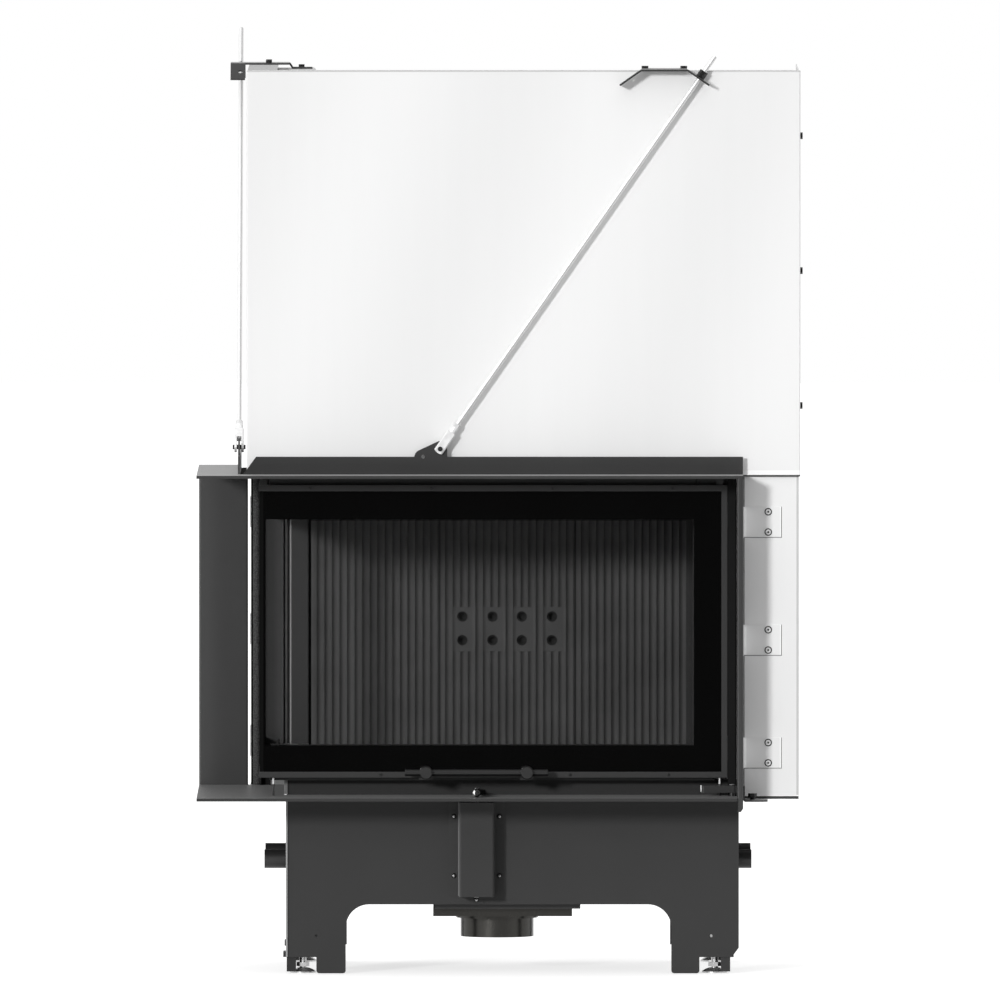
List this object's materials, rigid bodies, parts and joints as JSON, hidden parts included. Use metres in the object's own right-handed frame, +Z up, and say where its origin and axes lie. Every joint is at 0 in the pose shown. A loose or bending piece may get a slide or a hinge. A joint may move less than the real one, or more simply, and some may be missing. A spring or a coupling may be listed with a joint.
{
  "type": "fireplace insert",
  "caption": "Corner fireplace insert with an L-shaped glass lift-up door, building-in frame, galvanised casing with counterweight lift, lined firebox, base and outside-air spigot.",
  "frame": {"origin": "centre of the footprint on the floor", "axes": "+Z up, +Y from the front pane towards the back, +X to the right of a person who looks at the front pane"},
  "size_m": [1.032, 0.6563, 1.6017],
  "materials": {
    "black_frame": "satin high-temperature black paint",
    "black_base": "satin high-temperature black paint",
    "galvanised": "bright galvanised sheet",
    "lift_steel": "galvanised sheet",
    "zinc": "bright zinc plate",
    "black_fastener": "black oxide",
    "pulley": "turned steel",
    "counterweight": "raw cast iron",
    "cable": "steel wire rope",
    "glass": "clear glass ceramic with a black printed border",
    "door_frame": "satin black paint",
    "handle": "satin black paint",
    "seal": "black glass-fibre rope",
    "glide": "ground cast iron",
    "firebox": "matt black paint",
    "flue": "matt black paint",
    "lining": "dark fire-clay slab",
    "air_steel": "matt black paint",
    "lever": "bright steel rod",
    "foot": "zinc plate"
  },
  "bodies": {
    "insert": {"frame_top_flange": "black_frame", "frame_bottom_flange": "black_frame", "frame_right_jamb": "black_frame", "frame_rear_jamb": "black_frame", "corner_brackets": "black_frame", "top_brackets": "black_frame", "base_front_panel": "black_base", "base_body": "black_base", "air_cover": "black_base", "casing_front_panel": "galvanised", "casing_left_panel": "galvanised", "casing_right_panel": "galvanised", "casing_rear_panel": "galvanised", "casing_lower_panels": "galvanised", "jamb_brackets": "galvanised", "lift_beams": "lift_steel", "pulley_hangers": "lift_steel", "pulley_axles": "lift_steel", "tie_rods": "zinc", "tie_rod_forks": "zinc", "tie_rod_hardware": "zinc", "jamb_bracket_screws": "zinc", "black_bolts": "black_fastener", "right_lift_cable": "cable", "left_lift_cable": "cable", "firebox_shell": "firebox", "rear_left_post": "firebox", "smoke_dome": "firebox", "log_retainer": "firebox", "guide_rails": "firebox", "flue_collar": "flue", "lining_back_left": "lining", "lining_back_centre": "lining", "lining_back_right": "lining", "lining_right": "lining", "lining_floor": "lining", "baffle_plate": "lining", "carrying_tubes": "air_steel", "air_box": "air_steel", "air_spigot": "air_steel"},
    "door": {"door_glass": "glass", "door_bottom_rail": "door_frame", "door_top_rail": "door_frame", "door_stiles": "door_frame", "door_seal": "seal", "door_handle": "handle", "door_lift_straps": "door_frame", "door_glides": "glide"},
    "right_weight": {"right_counterweight": "counterweight"},
    "left_weight": {"left_counterweight": "counterweight"},
    "right_wheel": {"right_pulley": "pulley"},
    "left_wheel": {"left_pulley": "pulley"},
    "air_control": {"air_lever": "lever", "air_knob": "lever", "air_gate": "air_steel"},
    "lock_lever": {"door_lock_lever": "door_frame"},
    "front_left_foot": {"foot_front_left": "foot"},
    "front_right_foot": {"foot_front_right": "foot"},
    "rear_left_foot": {"foot_rear_left": "foot"},
    "rear_right_foot": {"foot_rear_right": "foot"}
  },
  "joints": [
    {"name": "door_lift", "type": "slide", "parent": "insert", "child": "door", "axis": [0, 0, 1], "range_m": [0, 0.48], "deforming": ["right_lift_cable", "left_lift_cable"]},
    {"name": "right_weight_drop", "type": "slide", "parent": "insert", "child": "right_weight", "axis": [0, 0, -1], "range_m": [0, 0.482]},
    {"name": "left_weight_drop", "type": "slide", "parent": "insert", "child": "left_weight", "axis": [0, 0, -1], "range_m": [0, 0.482]},
    {"name": "right_pulley_turn", "type": "hinge", "parent": "insert", "child": "right_wheel", "pos_m": [0.417, -0.2162, 1.47], "axis": [0, 1, 0], "range_deg": [0, 645]},
    {"name": "left_pulley_turn", "type": "hinge", "parent": "insert", "child": "left_wheel", "pos_m": [-0.404, 0.2148, 1.47], "axis": [-1, 0, 0], "range_deg": [0, 645]},
    {"name": "air_lever_turn", "type": "hinge", "parent": "insert", "child": "air_control", "pos_m": [-0.04, -0.1942, 0.2], "axis": [0, 0, 1], "range_deg": [-12, 17]},
    {"name": "lock_lever_turn", "type": "hinge", "parent": "insert", "child": "lock_lever", "pos_m": [0.395, -0.2332, 0.317], "axis": [0, 0, 1], "range_deg": [0, 40]},
    {"name": "front_left_foot_screw", "type": "slide", "parent": "insert", "child": "front_left_foot", "axis": [0, 0, 1], "range_m": [-0.025, 0.008]},
    {"name": "front_right_foot_screw", "type": "slide", "parent": "insert", "child": "front_right_foot", "axis": [0, 0, 1], "range_m": [-0.025, 0.008]},
    {"name": "rear_left_foot_screw", "type": "slide", "parent": "insert", "child": "rear_left_foot", "axis": [0, 0, 1], "range_m": [-0.025, 0.008]},
    {"name": "rear_right_foot_screw", "type": "slide", "parent": "insert", "child": "rear_right_foot", "axis": [0, 0, 1], "range_m": [-0.025, 0.008]}
  ],
  "couplings": [
    {"joint": "right_weight_drop", "follows": "door_lift", "ratio": 1},
    {"joint": "left_weight_drop", "follows": "door_lift", "ratio": 1},
    {"joint": "right_pulley_turn", "follows": "door_lift", "rad_per_m": 23.256},
    {"joint": "left_pulley_turn", "follows": "door_lift", "rad_per_m": 23.256}
  ]
}
